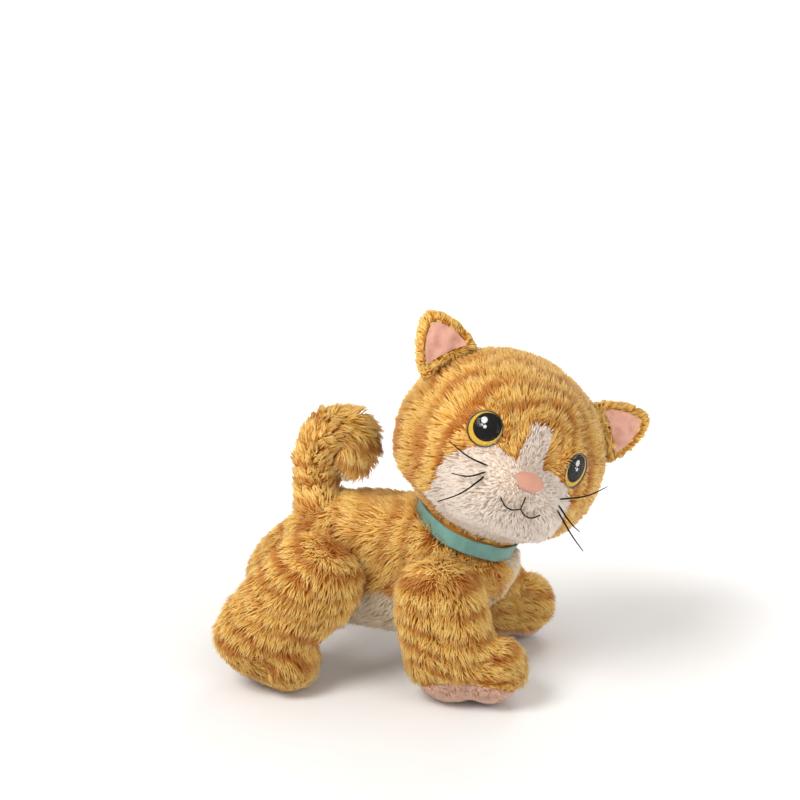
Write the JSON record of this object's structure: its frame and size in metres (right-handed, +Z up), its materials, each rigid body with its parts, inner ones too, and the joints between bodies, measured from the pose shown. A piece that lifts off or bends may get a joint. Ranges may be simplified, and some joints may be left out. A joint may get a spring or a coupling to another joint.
{
  "type": "plush cat",
  "caption": "Standing plush cat with a turned head, stuffed jointed legs, curled tail, plastic eyes and a ribbon collar.",
  "frame": {"origin": "floor, under the middle of the outline seen from above", "axes": "+X from tail to chest, +Y to the cat's left, +Z up"},
  "size_m": [0.2674, 0.1644, 0.237],
  "materials": {
    "orange_plush": "long pile",
    "white_plush": "short pile",
    "stuffing": "fibre fill",
    "pink_pile": "short pile",
    "pink_satin": "satin",
    "pink_felt": "brushed felt",
    "teal_ribbon": "woven ribbon",
    "black_thread": "twisted thread",
    "black_plastic": "gloss",
    "printed_iris": "printed",
    "clear_plastic": "clear gloss",
    "washer_plastic": "matte"
  },
  "bodies": {
    "torso": {"torso_skin": "orange_plush", "torso_stuffing": "stuffing", "belly_panel": "white_plush"},
    "neck_core": {"neck_stuffing": "stuffing"},
    "neck_cover": {"neck_sleeve": "orange_plush"},
    "collar": {"collar_band": "teal_ribbon"},
    "tail": {"tail_skin": "orange_plush", "tail_stuffing": "stuffing"},
    "head": {"head_skin": "orange_plush", "muzzle_panel": "white_plush", "head_stuffing": "stuffing", "nose": "pink_felt", "mouth_stitching": "black_thread", "eye_right_cup": "black_plastic", "eye_right_iris": "printed_iris", "eye_right_dome": "clear_plastic", "eye_right_washer": "washer_plastic", "whisker_right_top": "black_thread", "whisker_right_middle": "black_thread", "whisker_right_bottom": "black_thread", "eye_left_cup": "black_plastic", "eye_left_iris": "printed_iris", "eye_left_dome": "clear_plastic", "eye_left_washer": "washer_plastic", "whisker_left_top": "black_thread", "whisker_left_middle": "black_thread", "whisker_left_bottom": "black_thread"},
    "ear_right": {"ear_right_outer": "orange_plush", "ear_right_lining": "pink_satin"},
    "leg_front_right": {"leg_front_right_skin": "orange_plush", "leg_front_right_sole_pad": "pink_pile", "leg_front_right_stuffing": "stuffing"},
    "leg_hind_right": {"leg_hind_right_skin": "orange_plush", "leg_hind_right_sole_pad": "pink_pile", "leg_hind_right_stuffing": "stuffing"},
    "ear_left": {"ear_left_outer": "orange_plush", "ear_left_lining": "pink_satin"},
    "leg_front_left": {"leg_front_left_skin": "orange_plush", "leg_front_left_sole_pad": "pink_pile", "leg_front_left_stuffing": "stuffing"},
    "leg_hind_left": {"leg_hind_left_skin": "orange_plush", "leg_hind_left_sole_pad": "pink_pile", "leg_hind_left_stuffing": "stuffing"}
  },
  "joints": [
    {"name": "head_turn", "type": "hinge", "parent": "torso", "child": "neck_core", "pos_m": [0.02433, -0.00003, 0.097], "axis": [0.4067, 0, 0.9135], "range_deg": [-25, 25], "stiffness_Nm_per_rad": 0.8},
    {"name": "head_nod", "type": "hinge", "parent": "neck_core", "child": "neck_cover", "pos_m": [0.02433, -0.00003, 0.097], "axis": [0.8148, 0.3394, -0.4699], "range_deg": [-10, 10], "stiffness_Nm_per_rad": 1.2},
    {"name": "head_tilt", "type": "hinge", "parent": "neck_cover", "child": "head", "pos_m": [0.02433, -0.00003, 0.097], "axis": [0.4623, -0.8695, 0.1736], "range_deg": [-10, 10], "stiffness_Nm_per_rad": 1.2},
    {"name": "collar_turn", "type": "hinge", "parent": "torso", "child": "collar", "pos_m": [0.02433, -0.00003, 0.097], "axis": [0.4067, 0, 0.9135], "continuous": true},
    {"name": "leg_front_right_swing", "type": "hinge", "parent": "torso", "child": "leg_front_right", "pos_m": [0.01433, -0.03203, 0.06], "axis": [0, 1, 0], "range_deg": [-20, 20], "stiffness_Nm_per_rad": 1.5},
    {"name": "leg_front_left_swing", "type": "hinge", "parent": "torso", "child": "leg_front_left", "pos_m": [0.01433, 0.03197, 0.06], "axis": [0, 1, 0], "range_deg": [-20, 20], "stiffness_Nm_per_rad": 1.5},
    {"name": "leg_hind_right_swing", "type": "hinge", "parent": "torso", "child": "leg_hind_right", "pos_m": [-0.06667, -0.03203, 0.067], "axis": [0, 1, 0], "range_deg": [-20, 20], "stiffness_Nm_per_rad": 1.5},
    {"name": "leg_hind_left_swing", "type": "hinge", "parent": "torso", "child": "leg_hind_left", "pos_m": [-0.06667, 0.03197, 0.067], "axis": [0, 1, 0], "range_deg": [-20, 20], "stiffness_Nm_per_rad": 1.5},
    {"name": "tail_wag", "type": "hinge", "parent": "torso", "child": "tail", "pos_m": [-0.07167, -0.00003, 0.103], "axis": [1, 0, 0], "range_deg": [-25, 25], "stiffness_Nm_per_rad": 0.3},
    {"name": "ear_right_flop", "type": "hinge", "parent": "head", "child": "ear_right", "pos_m": [0.01459, -0.00986, 0.20559], "axis": [0.7985, 0.4934, 0.3449], "range_deg": [-15, 15], "stiffness_Nm_per_rad": 0.05},
    {"name": "ear_left_flop", "type": "hinge", "parent": "head", "child": "ear_left", "pos_m": [0.10397, 0.02737, 0.15405], "axis": [0.2707, -0.0481, -0.9615], "range_deg": [-15, 15], "stiffness_Nm_per_rad": 0.05}
  ]
}
